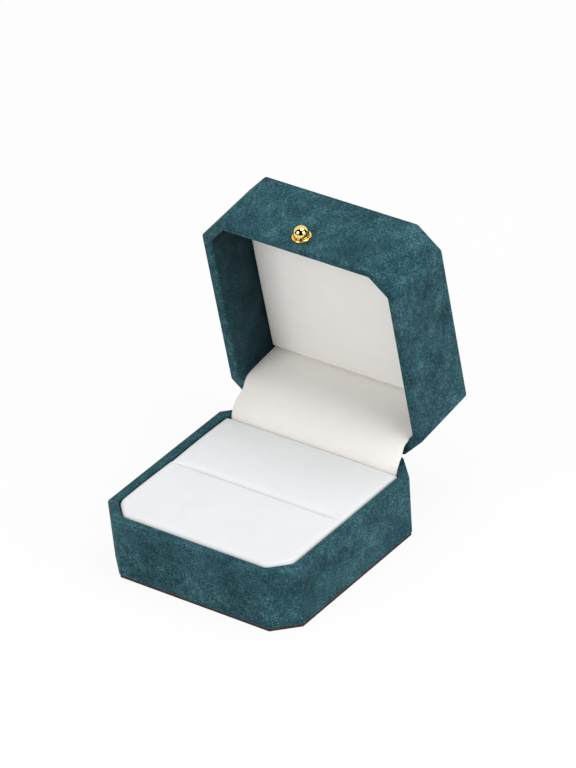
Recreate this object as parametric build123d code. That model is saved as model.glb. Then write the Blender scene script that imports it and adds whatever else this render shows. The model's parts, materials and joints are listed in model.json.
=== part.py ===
from build123d import *
import math
import os

# Octagonal hinged ring box, shown open.
# Frame: origin at the centre of the footprint on the table, +X to the right,
# +Y to the back, +Z up. Lengths are in millimetres, angles in degrees.
# Lid pieces are drawn shut on the base and then swung open about the hinge pin.

# Outside form, shared by base and lid
WIDTH = 70.0            # side to side
DEPTH = 69.5            # front to back
CORNER_CUT = 7.5        # set-back of the four cut corners
BASE_HEIGHT = 21.0      # table to base rim
LID_HEIGHT = 24.7       # lid rim to lid top
BASE_DRAW = 0.45        # each base wall leans in this much from rim to foot
LID_DRAW = 0.2          # each lid wall leans in this much from rim to top
CORNER_ROUND = 1.2      # covering folded over upright corners
RIM_ROUND = 0.9         # covering folded over both edges of a rim
TOP_ROUND = 1.0         # covering folded over the lid's top edges
FOOT_ROUND = 0.4        # covering folded under the base
LINED_CORNER_ROUND = 1.0  # upright corners of the lined hollow
OPEN_ANGLE = 82.6       # lid swing from shut to its open stop
RIM_GAP = 0.2           # between the two rims when shut

# Layers of the walls, the floor and the lid top
COVERING = 0.7          # leatherette
SHELL_WALL = 1.7        # moulded wall at the rim
SHELL_PLATE = 1.6       # moulded floor, and moulded lid top
FOOT_BOARD = 0.9        # board glued under the base
FOOT_BOARD_INSET = 0.3
TURN_UNDER = 8.0        # width of covering glued under the moulded floor

# Ring cushion: two foam pads on a card tray, under one velvet sheet
VELVET = 0.6
LINING_GAP = 0.3        # cushion and lid panel to the lined walls
HINGE_SPACE = 8.35      # rear outside face to the back of the cushion
CUSHION_PROUD = 0.6     # crown above the rim
CROWN = 0.45            # fall of each pad's crown to its front and rear edges
PAD_CORNER_ROUND = 2.5  # front corners in plan
FRONT_PAD_ROUND = 1.7   # top edges of the front pad
REAR_PAD_ROUND = 2.4    # top edges of the rear pad, which rolls into the slot
PAD_END_EASE = 0.2      # the other corners in plan are this much rounder than the top edges
SLOT_WIDTH = 4.5        # with a band pressed in
SLOT_PLACE = -1.6       # middle of the slot, along Y
TRAY = 1.0              # card of the tray
TRAY_UPSTAND = 12.5     # height of the card turned up behind the rear pad

# Lid lining: foam, card and velvet panel
PANEL_FACE = 16.8       # lid rim to the face of the panel
PANEL_CARD = 1.0
PANEL_ROUND = 0.5       # velvet folded over the panel's edges
PANEL_CORNER_ROUND = 1.5
PANEL_REAR_CORNER = 1.0  # rear corners, cut off beyond the walls' own cut
PANEL_COVER_GAP = 0.2   # panel to the hinge cover

# Curved hinge cover: velvet on card, glued in the lid, loose behind the cushion
COVER_NAP = 0.5         # velvet
COVER_CARD = 0.6
COVER_SEAT = 8.5        # rear outside face of the lid to the face of the cover
COVER_BEND = 18.6       # radius of its bend
COVER_TANGENT = 6.8     # lid rim to where the bend runs into the flat
COVER_TAIL = 5.5        # depth tucked in below the base rim
COVER_SIDE = 0.9        # lined side wall to the side edge
COVER_GAP = 0.3         # to the cushion and to the lined walls it passes

# Spring hinge
PIN_RADIUS = 0.7
PIN_CLEARANCE = 0.04
PIN_HEAD_RADIUS = 1.05
PIN_HEAD = 0.4
LEAF = 0.5              # sheet of both leaves
LEAF_HALF_WIDTH = 13.0
LEAF_REACH = 12.5       # hinge axis to the far edge of a leaf
LEAF_CORNER_ROUND = 1.5
LEAF_BEND = 0.25        # inside radius where a leaf turns over the rim
KNUCKLE = 3.9           # length of each rolled knuckle
KNUCKLE_GAP = 0.2
ROLL_SEAM = 0.2         # open seam of a rolled knuckle
NOTCH_END_GAP = 0.9     # barrel end to the end of its notch in the rear walls
NOTCH_CLEARANCE = 0.3   # barrel to the floor of its notch
RIVET_RADIUS = 0.9
RIVET_HEAD_RADIUS = 1.6
RIVET_HEAD = 0.45
RIVET_CLEARANCE = 0.05
RIVET_ACROSS = 8.9      # rivet from the middle of a leaf
RIVET_DOWN = 9.3        # rivet from the hinge axis
RIVET_COVERED = 0.4     # moulded wall left behind a rivet
SPRING_WIDTH = 7.0
SPRING = 0.3            # thickness of the strip
SPRING_HOOK = 6.5       # hinge axis to the slot that holds a spring end
SPRING_OFF = 0.1        # strip to the face of a leaf at its ends
SPRING_TAB = 0.35       # strip end beyond the back of its leaf
SPRING_RISE = 2.35      # bow of the open spring over the hinge axis
SPRING_SIDE_GAP = 0.4   # to each side of the leaves' windows and the pockets
SPRING_SLOT_GAP = 0.25  # above and below a strip end in its slot
SPRING_BRIDGE = 1.0     # leaf between the window and the slot
SPRING_POCKET = 0.9     # recess for the spring in each rear wall

# Knob on the lid's front wall: stud, dished collar and riveting washer
KNOB_UP = 4.5           # lid rim to the stud
KNOB_BALL_RADIUS = 2.15
KNOB_BALL_OUT = 1.85    # wall to the centre of the ball
KNOB_COLLAR_RADIUS = 3.0
KNOB_COLLAR_DISH = 0.45  # wall to the dished face that the ball sits on
KNOB_BEAD_RADIUS = 0.42  # rounded edge of the collar
KNOB_SHANK_RADIUS = 1.0
KNOB_CLEARANCE = 0.05
KNOB_WASHER_RADIUS = 2.0
KNOB_WASHER = 0.45
KNOB_PEEN_RADIUS = 1.5
KNOB_PEEN = 0.4         # riveted end of the shank over the washer
KNOB_WELL_GAP = 0.15    # around the washer in its well

TOUCH = 0.01            # how near a plane an edge or a face lies to be picked
PAST = 1.0              # how far a cutting block runs past what it cuts

# Places that follow from the sizes above
WALL = 2 * COVERING + SHELL_WALL
REAR = DEPTH / 2
LINED_REAR = REAR - WALL
LINING_INSET = WALL + LINING_GAP
SHELL_FOOT = FOOT_BOARD + COVERING
FLOOR_TOP = SHELL_FOOT + SHELL_PLATE
LID_RIM = BASE_HEIGHT + RIM_GAP
LID_TOP = LID_RIM + LID_HEIGHT
LID_CEILING = LID_TOP - COVERING - SHELL_PLATE
HINGE_Z = BASE_HEIGHT + RIM_GAP / 2
HINGE = Axis((0, REAR, HINGE_Z), (1, 0, 0))
PIN_BORE = PIN_RADIUS + PIN_CLEARANCE
BARREL_RADIUS = PIN_BORE + LEAF
CUSHION_REAR = REAR - HINGE_SPACE
SLOT_FRONT = SLOT_PLACE - SLOT_WIDTH / 2
SLOT_REAR = SLOT_PLACE + SLOT_WIDTH / 2
CROWN_TOP = BASE_HEIGHT + CUSHION_PROUD
PANEL_BACK = LID_RIM + PANEL_FACE + VELVET + PANEL_CARD
KNOB_SEAT = LID_DRAW * (KNOB_UP - KNOB_COLLAR_RADIUS) / LID_HEIGHT
KNOB_BACK = COVERING + SHELL_WALL - KNOB_SEAT
KNOB_WELL = KNOB_BACK - KNOB_WASHER - KNOB_PEEN


# --- forms shared by several pieces -------------------------------------------

def cut_at(inset):
    """Corner set-back of the plan moved in by inset on every side."""
    return CORNER_CUT - (2 - math.sqrt(2)) * inset


def both_sides(points):
    """Closed outline from its right-hand points, front to back."""
    return make_face(Polyline(points + [(-x, y) for x, y in reversed(points)], close=True))


def octagon(inset):
    """The box's plan, moved in by inset."""
    a, b, c = WIDTH / 2 - inset, DEPTH / 2 - inset, cut_at(inset)
    return both_sides([(a - c, -b), (a, c - b), (a, b - c), (a - c, b)])


def straight(inset, low, high):
    """Upright block on the plan moved in by inset."""
    return extrude(Pos(0, 0, low) * octagon(inset), high - low)


def leaning(low, inset_low, high, inset_high):
    """Block whose walls lean from one inset of the plan to another."""
    return loft([Pos(0, 0, low) * octagon(inset_low), Pos(0, 0, high) * octagon(inset_high)], ruled=True)


def block(x0, x1, y0, y1, z0, z1):
    """Box between two corners."""
    return Pos((x0 + x1) / 2, (y0 + y1) / 2, (z0 + z1) / 2) * Box(x1 - x0, y1 - y0, z1 - z0)


def bar_x(radius, x0, x1, y, z):
    """Round bar along X."""
    return Pos(x0, y, z) * Rot(0, 90, 0) * extrude(Circle(radius), x1 - x0)


def bar_y(radius, x, y0, y1, z):
    """Round bar along Y."""
    return Pos(x, y0, z) * Rot(-90, 0, 0) * extrude(Circle(radius), y1 - y0)


def upright_edges(shape):
    return [e for e in shape.edges() if abs((e @ 1 - e @ 0).Z) > 0.9 * e.length]


def edges_at(shape, z):
    return shape.edges().filter_by_position(Axis.Z, z - TOUCH, z + TOUCH)


def folded_in(body, z):
    """Body with the covering folded over the inner edge of its rim at height z."""
    rim = body.faces().filter_by_position(Axis.Z, z - TOUCH, z + TOUCH)[0]
    return fillet(rim.inner_wires()[0].edges(), RIM_ROUND)


def base_lean(z):
    """How far the base's outside has leant in at height z."""
    return BASE_DRAW * (BASE_HEIGHT - z) / (BASE_HEIGHT - FOOT_BOARD)


def lid_lean(z):
    """How far the shut lid's outside has leant in at height z."""
    return LID_DRAW * (z - LID_RIM) / LID_HEIGHT


def swung_open(shape):
    """Move a piece drawn on the shut lid to the open lid."""
    return shape.rotate(HINGE, -OPEN_ANGLE)


def over_hinge(shape):
    """The piece's mirror image on the other side of the shut rims."""
    return mirror(shape, Plane.XY.offset(HINGE_Z))


# --- walls of base and lid ----------------------------------------------------

def hinge_relief():
    """What both rear walls lose: barrel notch, spring pocket and rivet holes."""
    half = LEAF_HALF_WIDTH + NOTCH_END_GAP
    drop = BARREL_RADIUS + NOTCH_CLEARANCE
    front = LINED_REAR - PAST
    relief = block(-half, half, front, REAR + PAST, HINGE_Z - drop, HINGE_Z + drop)
    half = SPRING_WIDTH / 2 + SPRING_SIDE_GAP
    reach = SPRING_HOOK + SPRING / 2 + SPRING_SLOT_GAP
    relief += block(-half, half, front, LINED_REAR + SPRING_POCKET, HINGE_Z - reach, HINGE_Z + reach)
    for side in (-1, 1):
        for up in (-1, 1):
            relief += bar_y(RIVET_RADIUS + RIVET_CLEARANCE, side * RIVET_ACROSS, front,
                            REAR - COVERING - RIVET_COVERED, HINGE_Z + up * RIVET_DOWN)
    return relief


def base_blank():
    """The base's moulded shell before it is cut for the hinge."""
    high = BASE_HEIGHT - COVERING
    blank = leaning(SHELL_FOOT, COVERING + base_lean(SHELL_FOOT), high, COVERING + base_lean(high))
    return blank - straight(COVERING + SHELL_WALL, FLOOR_TOP, BASE_HEIGHT)


def base_body():
    """Shell and covering of the base together."""
    body = leaning(FOOT_BOARD, BASE_DRAW, BASE_HEIGHT, 0)
    body = fillet(upright_edges(body), CORNER_ROUND)
    body = fillet(edges_at(body, BASE_HEIGHT), RIM_ROUND)
    body = fillet(edges_at(body, FOOT_BOARD), FOOT_ROUND)
    hollow = straight(WALL, FLOOR_TOP, BASE_HEIGHT + PAST)
    body -= fillet(upright_edges(hollow), LINED_CORNER_ROUND)
    return folded_in(body, BASE_HEIGHT)


def base_shell():
    return base_blank() - hinge_relief()


def base_cover():
    """Leatherette over the outside, the rim and the inner walls, turned under the floor."""
    under = straight(TURN_UNDER, 0, SHELL_FOOT)
    return base_body() - base_blank() - under - hinge_relief()


def foot_board():
    return straight(BASE_DRAW + FOOT_BOARD_INSET, 0, FOOT_BOARD)


def lid_blank():
    """The lid's moulded shell before it is cut for the hinge and the knob."""
    low, high = LID_RIM + COVERING, LID_TOP - COVERING
    blank = leaning(low, COVERING + lid_lean(low), high, COVERING + lid_lean(high))
    return blank - straight(COVERING + SHELL_WALL, LID_RIM, LID_CEILING)


def lid_body():
    """Shell and covering of the shut lid together."""
    body = leaning(LID_RIM, 0, LID_TOP, LID_DRAW)
    body = fillet(upright_edges(body), CORNER_ROUND)
    body = fillet(edges_at(body, LID_TOP), TOP_ROUND)
    body = fillet(edges_at(body, LID_RIM), RIM_ROUND)
    hollow = straight(WALL, LID_RIM - PAST, LID_CEILING)
    body -= fillet(upright_edges(hollow), LINED_CORNER_ROUND)
    return folded_in(body, LID_RIM)


def lid_shell():
    return swung_open(lid_blank() - hinge_relief() - knob_bores())


def lid_cover():
    """Leatherette over the lid's top, sides, rim and inner walls."""
    return swung_open(lid_body() - lid_blank() - hinge_relief() - knob_bores())


# --- ring cushion -------------------------------------------------------------

def crown(front, rear, top):
    """Block as wide as the box under a top that falls away to its front and rear edges."""
    middle, half = (front + rear) / 2, (rear - front) / 2
    radius = (half ** 2 + CROWN ** 2) / (2 * CROWN)
    reach = half + PAST
    edge = top - radius + math.sqrt(radius ** 2 - reach ** 2)
    arc = ThreePointArc((0, middle - reach, edge), (0, middle, top), (0, middle + reach, edge))
    sides = Polyline((0, middle - reach, edge), (0, middle - reach, 0), (0, middle + reach, 0),
                     (0, middle + reach, edge))
    return extrude(make_face(arc + sides), WIDTH / 2, both=True)


def pad(plan, low, top, edge_round):
    """Upholstered block with a crowned top and rounded top edges."""
    box = plan.bounding_box()
    body = extrude(Pos(0, 0, low) * plan, top - low + PAST) & crown(box.min.Y, box.max.Y, top)
    return fillet(body.faces().sort_by(Axis.Z)[-1].edges(), edge_round)


def cushion_plan(rear, rear_round):
    """Plan from the front wall to a rear edge, with the cut corners of the walls at its front."""
    a, front, c = WIDTH / 2 - LINING_INSET, DEPTH / 2 - LINING_INSET, cut_at(LINING_INSET)
    plan = both_sides([(a - c, -front), (a, c - front), (a, rear)])
    plan = fillet(plan.vertices().filter_by_position(Axis.Y, rear - TOUCH, rear + TOUCH), rear_round)
    at_front = plan.vertices().filter_by_position(Axis.Y, -front - TOUCH, c - front + TOUCH)
    return fillet(at_front, PAD_CORNER_ROUND)


def front_pad_plan():
    return cushion_plan(SLOT_FRONT, FRONT_PAD_ROUND + PAD_END_EASE)


def rear_pad_plan():
    middle, length = (SLOT_REAR + CUSHION_REAR) / 2, CUSHION_REAR - SLOT_REAR
    width = WIDTH - 2 * LINING_INSET
    return Pos(0, middle) * RectangleRounded(width, length, REAR_PAD_ROUND + PAD_END_EASE)


def cushion_tray():
    """Card floor with its rear edge turned up behind the rear pad."""
    plan = offset(cushion_plan(CUSHION_REAR, REAR_PAD_ROUND + PAD_END_EASE), -VELVET)
    tray = extrude(Pos(0, 0, FLOOR_TOP) * plan, TRAY)
    rear = CUSHION_REAR - VELVET
    upstand = extrude(Pos(0, 0, FLOOR_TOP) * plan, TRAY_UPSTAND)
    return tray + (upstand & block(-WIDTH, WIDTH, rear - TRAY, rear, 0, BASE_HEIGHT))


def foam(plan, edge_round):
    """Foam of one pad: the pad less its velvet, standing on the tray."""
    return pad(offset(plan, -VELVET), FLOOR_TOP + TRAY, CROWN_TOP - VELVET, edge_round - VELVET)


def front_foam():
    return foam(front_pad_plan(), FRONT_PAD_ROUND)


def rear_foam():
    return foam(rear_pad_plan(), REAR_PAD_ROUND) - cushion_tray()


def cushion_velvet():
    """One velvet sheet over both pads and down through the slot between them."""
    front = pad(front_pad_plan(), FLOOR_TOP, CROWN_TOP, FRONT_PAD_ROUND)
    rear = pad(rear_pad_plan(), FLOOR_TOP, CROWN_TOP, REAR_PAD_ROUND)
    half = WIDTH / 2 - LINING_INSET - REAR_PAD_ROUND - PAD_END_EASE
    slot_floor = FLOOR_TOP + TRAY
    bottom = block(-half, half, SLOT_FRONT - VELVET, SLOT_REAR + VELVET, slot_floor, slot_floor + VELVET)
    return front + rear + bottom - cushion_tray() - front_foam() - foam(rear_pad_plan(), REAR_PAD_ROUND)


# --- lid lining ---------------------------------------------------------------

def panel_plan():
    """Plan that fills the lid from its front wall back to the hinge cover."""
    a, front, c = WIDTH / 2 - LINING_INSET, DEPTH / 2 - LINING_INSET, cut_at(LINING_INSET)
    rear = REAR - COVER_SEAT - PANEL_COVER_GAP
    rear_cut = max(rear - (front - c), 0) + PANEL_REAR_CORNER
    plan = both_sides([(a - c, -front), (a, c - front), (a, rear - rear_cut), (a - rear_cut, rear)])
    return fillet(plan.vertices().filter_by_position(Axis.Y, -DEPTH, 0), PANEL_CORNER_ROUND)


def panel_layer(low, high):
    """Layer of the panel's plan inside its velvet edge, on the shut lid."""
    return extrude(Pos(0, 0, low) * offset(panel_plan(), -VELVET), high - low)


def panel_velvet():
    face = LID_RIM + PANEL_FACE
    velvet = extrude(Pos(0, 0, face) * panel_plan(), PANEL_BACK - face)
    velvet = fillet(edges_at(velvet, face), PANEL_ROUND)
    return swung_open(velvet - panel_layer(face + VELVET, PANEL_BACK))


def panel_card():
    return swung_open(panel_layer(PANEL_BACK - PANEL_CARD, PANEL_BACK))


def panel_foam():
    return swung_open(panel_layer(PANEL_BACK, LID_CEILING))


# --- hinge cover --------------------------------------------------------------

def open_place(u, v):
    """(y, z) on the open lid, u in front of its rear face and v above its rim."""
    turn = math.radians(OPEN_ANGLE)
    y, z = -u, v + RIM_GAP / 2
    return (
        REAR + y * math.cos(turn) + z * math.sin(turn),
        HINGE_Z - y * math.sin(turn) + z * math.cos(turn),
    )


def cover_line(depth):
    """Corner points of the cover's section at a depth below its face, tail first."""
    turn = math.radians(OPEN_ANGLE)
    seat_y, seat_z = open_place(COVER_SEAT, COVER_TANGENT)
    centre_y = seat_y + COVER_BEND * math.cos(turn)
    centre_z = seat_z - COVER_BEND * math.sin(turn)
    radius = COVER_BEND - depth
    tail_y = CUSHION_REAR + COVER_GAP + depth
    start = math.acos((tail_y - centre_y) / radius)
    end = math.atan2(math.sin(turn), -math.cos(turn))

    def on_bend(angle):
        return 0, centre_y + radius * math.cos(angle), centre_z + radius * math.sin(angle)

    foot = (0, tail_y, BASE_HEIGHT - COVER_TAIL)
    top = (0, *open_place(COVER_SEAT - depth, LID_CEILING - LID_RIM))
    return foot, on_bend(start), on_bend((start + end) / 2), on_bend(end), top


def cover_layer(near, far):
    """Layer of the hinge cover between two depths below its face."""
    foot, crease, middle, tangent, top = cover_line(near)
    back_foot, back_crease, back_middle, back_tangent, back_top = cover_line(far)
    section = make_face([
        Line(foot, crease),
        ThreePointArc(crease, middle, tangent),
        Line(tangent, top),
        Line(top, back_top),
        Line(back_top, back_tangent),
        ThreePointArc(back_tangent, back_middle, back_crease),
        Line(back_crease, back_foot),
        Line(back_foot, foot),
    ])
    layer = extrude(section, WIDTH / 2 - WALL - COVER_SIDE, both=True)
    inset = WALL + COVER_GAP
    in_base = block(-WIDTH, WIDTH, 0, REAR, 0, BASE_HEIGHT + COVER_GAP)
    in_base -= straight(inset, -PAST, LID_RIM + PAST)
    in_lid = block(-WIDTH, WIDTH, 0, REAR, LID_RIM - COVER_GAP, LID_TOP)
    in_lid -= straight(inset, BASE_HEIGHT - PAST, LID_TOP + PAST)
    return layer - in_base - swung_open(in_lid)


def hinge_cover_velvet():
    return cover_layer(0, COVER_NAP)


def hinge_cover_card():
    return cover_layer(COVER_NAP, COVER_NAP + COVER_CARD)


# --- spring hinge -------------------------------------------------------------

def knuckle_spans(order):
    """(x0, x1) of a leaf's two knuckles; order 0 lies at the barrel's ends, 1 next to it."""
    outer = LEAF_HALF_WIDTH - order * (KNUCKLE + KNUCKLE_GAP)
    return [(outer - KNUCKLE, outer), (-outer, KNUCKLE - outer)]


def knuckle_section():
    """Section of a leaf at a knuckle: plate, bend over the rim, and roll round the pin."""
    face, top = LINED_REAR - LEAF, HINGE_Z - PIN_BORE
    low = HINGE_Z - BARREL_RADIUS - LEAF_BEND
    strip = make_face(Polyline([
        (face, low), (face, top), (REAR, top), (REAR, top - LEAF), (LINED_REAR, top - LEAF), (LINED_REAR, low),
    ], close=True))
    strip = fillet(strip.vertices().group_by(Axis.Y)[-1].sort_by(Axis.X)[0], LEAF_BEND + LEAF)
    inside = strip.vertices().filter_by_position(Axis.X, LINED_REAR - TOUCH, LINED_REAR + TOUCH)
    strip = fillet(inside.sort_by(Axis.Y)[-1], LEAF_BEND)
    roll = Pos(REAR, HINGE_Z) * (Circle(BARREL_RADIUS) - Circle(PIN_BORE))
    seam = Pos(REAR - BARREL_RADIUS / 2 - PIN_BORE / 4, top + ROLL_SEAM / 2)
    seam *= Rectangle(BARREL_RADIUS - PIN_BORE / 2, ROLL_SEAM)
    return strip + roll - seam


def leaf(order):
    """Stamped leaf below the hinge axis: riveted plate, window, and rolled knuckles."""
    face = LINED_REAR - LEAF
    foot, top = HINGE_Z - LEAF_REACH, HINGE_Z - BARREL_RADIUS - LEAF_BEND
    plate = block(-LEAF_HALF_WIDTH, LEAF_HALF_WIDTH, face, LINED_REAR, foot, top)
    sheet = fillet(edges_at(plate, foot).filter_by(Axis.Y), LEAF_CORNER_ROUND)
    for x0, x1 in knuckle_spans(order):
        sheet += extrude(Plane.YZ.offset(x0) * knuckle_section(), x1 - x0)
    half = SPRING_WIDTH / 2 + SPRING_SIDE_GAP
    slot = SPRING / 2 + SPRING_SLOT_GAP
    hook = HINGE_Z - SPRING_HOOK
    sheet -= block(-half, half, face - PAST, LINED_REAR + PAST, hook + slot + SPRING_BRIDGE, top + PAST)
    sheet -= block(-half, half, face - PAST, LINED_REAR + PAST, hook - slot, hook + slot)
    for side in (-1, 1):
        sheet -= bar_y(RIVET_RADIUS + RIVET_CLEARANCE, side * RIVET_ACROSS, face - PAST,
                       LINED_REAR + PAST, HINGE_Z - RIVET_DOWN)
    return sheet


def leaf_rivets():
    """Two rivets of the leaf below the hinge axis."""
    face = LINED_REAR - LEAF
    rivets = []
    for side in (-1, 1):
        x, z = side * RIVET_ACROSS, HINGE_Z - RIVET_DOWN
        head = bar_y(RIVET_HEAD_RADIUS, x, face - RIVET_HEAD, face, z)
        rim = head.edges().filter_by_position(Axis.Y, face - RIVET_HEAD - TOUCH, face - RIVET_HEAD + TOUCH)
        head = chamfer(rim, RIVET_HEAD / 2)
        rivets.append(head + bar_y(RIVET_RADIUS, x, face, REAR - COVERING - RIVET_COVERED, z))
    return Part() + rivets


def hinge_pin():
    """Pin riveted over at both ends of the barrel."""
    end = LEAF_HALF_WIDTH + PIN_HEAD
    pin = bar_x(PIN_RADIUS, -end, end, REAR, HINGE_Z)
    for x0, x1 in ((-end, -LEAF_HALF_WIDTH), (LEAF_HALF_WIDTH, end)):
        pin += bar_x(PIN_HEAD_RADIUS, x0, x1, REAR, HINGE_Z)
    tips = pin.edges().filter_by_position(Axis.X, -end - TOUCH, -end + TOUCH)
    tips += pin.edges().filter_by_position(Axis.X, end - TOUCH, end + TOUCH)
    return chamfer(tips, PIN_HEAD / 2)


def snap_spring():
    """Bowed strip from one leaf's slot, over the pin, to the other leaf's slot."""
    off = WALL + LEAF + SPRING_OFF + SPRING / 2
    reach = math.hypot(off, SPRING_HOOK)
    spread = math.atan2(SPRING_HOOK, off) + math.radians(OPEN_ANGLE / 2)
    half, low = reach * math.sin(spread), reach * math.cos(spread)
    rise = SPRING_RISE - low
    radius = (half ** 2 + rise ** 2) / (2 * rise)
    centre = SPRING_RISE - radius
    sweep = math.asin(half / radius)
    lean = math.radians(OPEN_ANGLE / 2)
    bow = Plane(origin=(0, REAR, HINGE_Z), x_dir=(0, math.sin(lean), math.cos(lean)), z_dir=(1, 0, 0))

    def arc(r):
        end = (r * math.sin(sweep), centre + r * math.cos(sweep))
        return (-end[0], end[1]), (0, centre + r), end

    outer, inner = arc(radius + SPRING / 2), arc(radius - SPRING / 2)
    section = make_face([
        ThreePointArc(*outer), Line(outer[2], inner[2]), ThreePointArc(*reversed(inner)), Line(inner[0], outer[0]),
    ])
    strip = extrude(bow * section, SPRING_WIDTH / 2, both=True)
    hook = HINGE_Z - SPRING_HOOK
    tab = block(-SPRING_WIDTH / 2, SPRING_WIDTH / 2, REAR - off - SPRING / 2, LINED_REAR + SPRING_TAB,
                hook - SPRING / 2, hook + SPRING / 2)
    return strip + tab + swung_open(over_hinge(tab))


# --- knob ---------------------------------------------------------------------

def knob_turned(outline):
    """Turned piece on the shut lid's front wall from its half section (radius, out)."""
    seat = Plane(origin=(0, KNOB_SEAT - REAR, LID_RIM + KNOB_UP), x_dir=(1, 0, 0), z_dir=(0, -1, 0))
    return seat * revolve(Plane.XZ * make_face(outline), Axis.Z)


def knob_bores():
    """Bore for the shank through the wall, with a well for the washer behind it."""
    bore, well = KNOB_SHANK_RADIUS + KNOB_CLEARANCE, KNOB_WASHER_RADIUS + KNOB_WELL_GAP
    return knob_turned(Polyline([
        (0, -KNOB_BACK), (well, -KNOB_BACK), (well, -KNOB_WELL), (bore, -KNOB_WELL), (bore, PAST), (0, PAST),
    ], close=True))


def knob_stud():
    """Ball and shank in one, with the shank's end riveted over the washer."""
    seat = math.sqrt(KNOB_BALL_RADIUS ** 2 - (KNOB_BALL_OUT - KNOB_COLLAR_DISH) ** 2)
    peen = KNOB_BACK - KNOB_PEEN
    ball = ThreePointArc((seat, KNOB_COLLAR_DISH), (KNOB_BALL_RADIUS, KNOB_BALL_OUT),
                         (0, KNOB_BALL_OUT + KNOB_BALL_RADIUS))
    shank = Polyline([
        (0, KNOB_BALL_OUT + KNOB_BALL_RADIUS), (0, -KNOB_BACK), (KNOB_PEEN_RADIUS - KNOB_PEEN, -KNOB_BACK),
        (KNOB_PEEN_RADIUS, -peen), (KNOB_SHANK_RADIUS, -peen), (KNOB_SHANK_RADIUS, KNOB_COLLAR_DISH),
        (seat, KNOB_COLLAR_DISH),
    ])
    return swung_open(knob_turned(ball + shank))


def knob_collar():
    """Dished collar with a beaded edge."""
    bore, bead = KNOB_SHANK_RADIUS + KNOB_CLEARANCE, KNOB_COLLAR_RADIUS - KNOB_BEAD_RADIUS
    crest = ThreePointArc((KNOB_COLLAR_RADIUS, KNOB_COLLAR_DISH), (bead, KNOB_COLLAR_DISH + KNOB_BEAD_RADIUS),
                          (bead - KNOB_BEAD_RADIUS, KNOB_COLLAR_DISH))
    rest = Polyline([
        (bead - KNOB_BEAD_RADIUS, KNOB_COLLAR_DISH), (bore, KNOB_COLLAR_DISH), (bore, 0),
        (KNOB_COLLAR_RADIUS, 0), (KNOB_COLLAR_RADIUS, KNOB_COLLAR_DISH),
    ])
    return swung_open(knob_turned(crest + rest))


def knob_washer():
    bore = KNOB_SHANK_RADIUS + KNOB_CLEARANCE
    front, back = -KNOB_WELL, -KNOB_WELL - KNOB_WASHER
    return swung_open(knob_turned(Polyline([
        (bore, front), (KNOB_WASHER_RADIUS, front), (KNOB_WASHER_RADIUS, back), (bore, back),
    ], close=True)))


# --- the assembly -------------------------------------------------------------

PIECES = {
    "foot_board": foot_board,
    "base_shell": base_shell,
    "base_cover": base_cover,
    "cushion_tray": cushion_tray,
    "front_foam": front_foam,
    "rear_foam": rear_foam,
    "cushion_velvet": cushion_velvet,
    "base_leaf": lambda: leaf(0),
    "base_leaf_rivets": leaf_rivets,
    "hinge_pin": hinge_pin,
    "snap_spring": snap_spring,
    "hinge_cover_card": hinge_cover_card,
    "hinge_cover_velvet": hinge_cover_velvet,
    "lid_shell": lid_shell,
    "lid_cover": lid_cover,
    "panel_foam": panel_foam,
    "panel_card": panel_card,
    "panel_velvet": panel_velvet,
    "lid_leaf": lambda: swung_open(over_hinge(leaf(1))),
    "lid_leaf_rivets": lambda: swung_open(over_hinge(leaf_rivets())),
    "knob_stud": knob_stud,
    "knob_collar": knob_collar,
    "knob_washer": knob_washer,
}

os.makedirs("parts", exist_ok=True)
for name, make in PIECES.items():
    export_step(make(), f"parts/{name}.step")
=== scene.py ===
"""Looks of a hinged ring box: napped leatherette, velvet cushion and lining, spring hinge and brass knob."""
import json
import logging
import math
from collections.abc import Iterable, Sequence
from dataclasses import dataclass, field
from enum import Enum

import bmesh
import bpy
from mathutils import Matrix, Vector, noise


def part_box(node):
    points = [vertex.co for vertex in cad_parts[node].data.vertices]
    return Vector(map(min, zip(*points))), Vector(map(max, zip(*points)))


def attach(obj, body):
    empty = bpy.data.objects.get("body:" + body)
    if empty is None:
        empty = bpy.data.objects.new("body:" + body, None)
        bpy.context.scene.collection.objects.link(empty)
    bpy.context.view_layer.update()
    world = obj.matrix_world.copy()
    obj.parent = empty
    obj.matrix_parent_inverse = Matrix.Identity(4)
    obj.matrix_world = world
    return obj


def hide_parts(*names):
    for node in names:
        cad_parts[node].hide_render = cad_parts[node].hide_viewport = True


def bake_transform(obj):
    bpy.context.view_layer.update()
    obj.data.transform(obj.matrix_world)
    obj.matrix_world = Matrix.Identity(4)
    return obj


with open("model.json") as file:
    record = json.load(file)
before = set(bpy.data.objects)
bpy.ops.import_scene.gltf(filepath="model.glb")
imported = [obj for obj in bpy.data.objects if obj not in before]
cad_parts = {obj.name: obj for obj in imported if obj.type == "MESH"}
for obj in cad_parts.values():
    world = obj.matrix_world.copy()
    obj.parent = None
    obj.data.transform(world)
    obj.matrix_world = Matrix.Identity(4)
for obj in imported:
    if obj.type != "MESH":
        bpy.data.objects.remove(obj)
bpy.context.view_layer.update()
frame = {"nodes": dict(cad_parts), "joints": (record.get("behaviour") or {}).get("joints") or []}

MM = 0.001
WELD_GAP = 0.02 * MM
log = logging.getLogger("ring_box")

Colour = tuple[float, float, float]
Limits = tuple[float, float]
Profile = list[tuple[float, float]]


class Body(Enum):
    """The two bodies that the hinge joins."""

    BASE = "base"
    LID = "lid"


class Slot(Enum):
    """Material slots of the record, by name."""

    CUSHION = "cushion_velvet"
    LINING = "lid_velvet"
    SPRING = "spring_steel"
    BRASS = "polished_brass"


def linear(red: int, green: int, blue: int) -> Colour:
    """Turn a display colour into the linear one that shaders take.

    Args:
        red: Red from 0 to 255.
        green: Green from 0 to 255.
        blue: Blue from 0 to 255.

    Returns:
        The linear colour, each part from 0 to 1.
    """
    parts = [value / 255 for value in (red, green, blue)]
    return tuple(p / 12.92 if p <= 0.04045 else ((p + 0.055) / 1.055) ** 2.4 for p in parts)


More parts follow.
